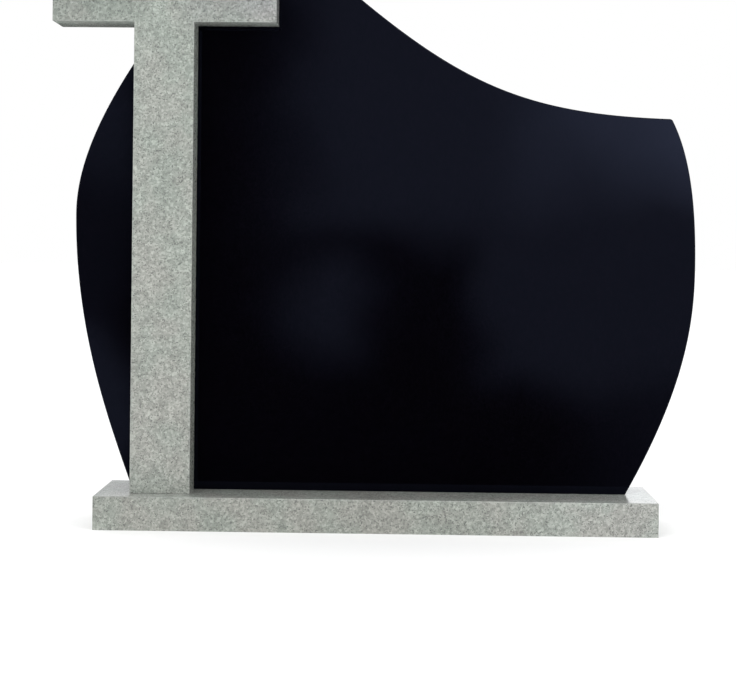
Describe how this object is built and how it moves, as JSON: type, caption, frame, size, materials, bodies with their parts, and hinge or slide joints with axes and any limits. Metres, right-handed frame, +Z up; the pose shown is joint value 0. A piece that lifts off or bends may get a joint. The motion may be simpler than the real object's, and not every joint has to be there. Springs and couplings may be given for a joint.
{
  "type": "tombstone",
  "caption": "Grave memorial: a polished black headstone with a free-curve outline and a grey granite Latin cross set into its face, on a low granite base.",
  "frame": {"origin": "centre of the underside of the base", "axes": "+Z up, +X to the right as seen from the front, -Y towards the front, which the polished face and the cross look along"},
  "size_m": [1.1655, 0.2, 1.1593],
  "materials": {
    "grey_granite": "polished",
    "black_granite": "polished"
  },
  "bodies": {
    "root": {"base": "grey_granite", "headstone": "black_granite", "cross": "grey_granite"}
  },
  "joints": []
}
